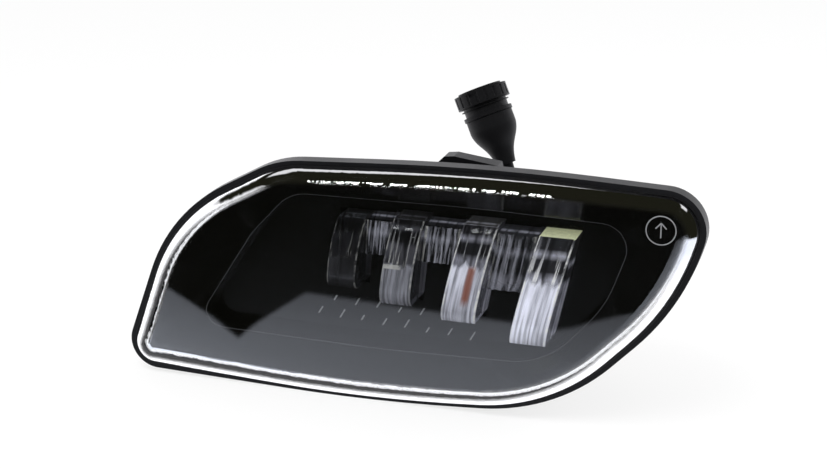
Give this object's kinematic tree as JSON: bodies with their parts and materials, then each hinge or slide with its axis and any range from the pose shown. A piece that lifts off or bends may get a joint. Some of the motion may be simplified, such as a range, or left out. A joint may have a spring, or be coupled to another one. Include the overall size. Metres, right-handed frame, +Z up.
{
  "type": "fog light",
  "caption": "Slim wide LED fog light with a clear domed lens, leaning blade optics, aiming screw and a short cable with a round connector.",
  "frame": {"origin": "centre of the rear bolt pattern, in the plane of the boss faces", "axes": "+X right as seen from in front, +Y towards the rear (the lens faces -Y), +Z up"},
  "size_m": [0.2822, 0.1317, 0.134],
  "materials": {
    "black_moulding": "satin",
    "clear_cover": "gloss",
    "soft_rubber": "matte",
    "black_gloss_trim": "gloss",
    "clear_optic": "gloss",
    "matte_black": "matte",
    "white_board": "satin",
    "yellow_phosphor": "satin",
    "grey_pad": "matte",
    "bare_aluminium": "satin",
    "steel_fastener": "satin",
    "white_nylon": "satin",
    "red_insulation": "satin",
    "green_board": "satin",
    "white_fabric": "matte",
    "tin_contact": "satin",
    "grey_insulator": "satin",
    "silicone_seal": "matte",
    "brass_insert": "satin"
  },
  "bodies": {
    "housing": {"housing": "black_moulding", "outer_lens": "clear_cover", "lens_seal": "soft_rubber", "bezel": "black_gloss_trim", "driver_board": "green_board", "driver_components": "matte_black", "driver_screws": "steel_fastener", "vent_membrane": "white_fabric", "vent_cap": "matte_black", "inner_wires": "red_insulation", "cable_gland": "matte_black", "gland_grommet": "soft_rubber", "gland_nut": "matte_black", "mount_inserts": "brass_insert"},
    "module": {"blade_lens_1": "clear_optic", "blade_lens_2": "clear_optic", "blade_lens_3": "clear_optic", "blade_lens_4": "clear_optic", "bridge_lens_1": "clear_optic", "bridge_lens_2": "clear_optic", "bridge_lens_3": "clear_optic", "optic_carrier": "matte_black", "led_board": "white_board", "led_packages": "yellow_phosphor", "thermal_pad": "grey_pad", "heat_sink": "bare_aluminium", "module_screws": "steel_fastener", "pivot_pins": "steel_fastener", "led_plug": "white_nylon", "led_leads": "red_insulation"},
    "aim_screw": {"adjuster_screw": "white_nylon", "adjuster_seal": "soft_rubber", "adjuster_clip": "steel_fastener"},
    "aim_nut": {"adjuster_nut": "white_nylon"},
    "pigtail": {"cable": "soft_rubber", "connector_boot": "soft_rubber", "connector_shell": "matte_black", "connector_terminals": "tin_contact", "connector_insert": "grey_insulator", "connector_seal": "silicone_seal"},
    "lock_ring": {"connector_ring": "matte_black"}
  },
  "joints": [
    {"name": "module_tilt", "type": "hinge", "parent": "housing", "child": "module", "pos_m": [0.032, -0.046, 0.039], "axis": [1, 0, 0], "range_deg": [-3, 3]},
    {"name": "adjuster_spin", "type": "hinge", "parent": "housing", "child": "aim_screw", "pos_m": [-0.079, -0.022, -0.015], "axis": [0, 1, 0], "range_deg": [-345, 345]},
    {"name": "nut_slide", "type": "slide", "parent": "housing", "child": "aim_nut", "axis": [0, 1, 0], "range_m": [-0.0029, 0.0029]},
    {"name": "pigtail_swing", "type": "hinge", "parent": "housing", "child": "pigtail", "pos_m": [0.029, 0.0065, 0.017], "axis": [0, 1, 0], "range_deg": [-45, 60]},
    {"name": "lock_ring_turn", "type": "hinge", "parent": "pigtail", "child": "lock_ring", "pos_m": [0.01232, 0.02469, 0.07162], "axis": [-0.42, 0.185, 0.8885], "range_deg": [0, 45]}
  ],
  "couplings": [
    {"joint": "nut_slide", "follows": "module_tilt", "m_per_rad": 0.054},
    {"joint": "adjuster_spin", "follows": "module_tilt", "ratio": -113.1}
  ]
}
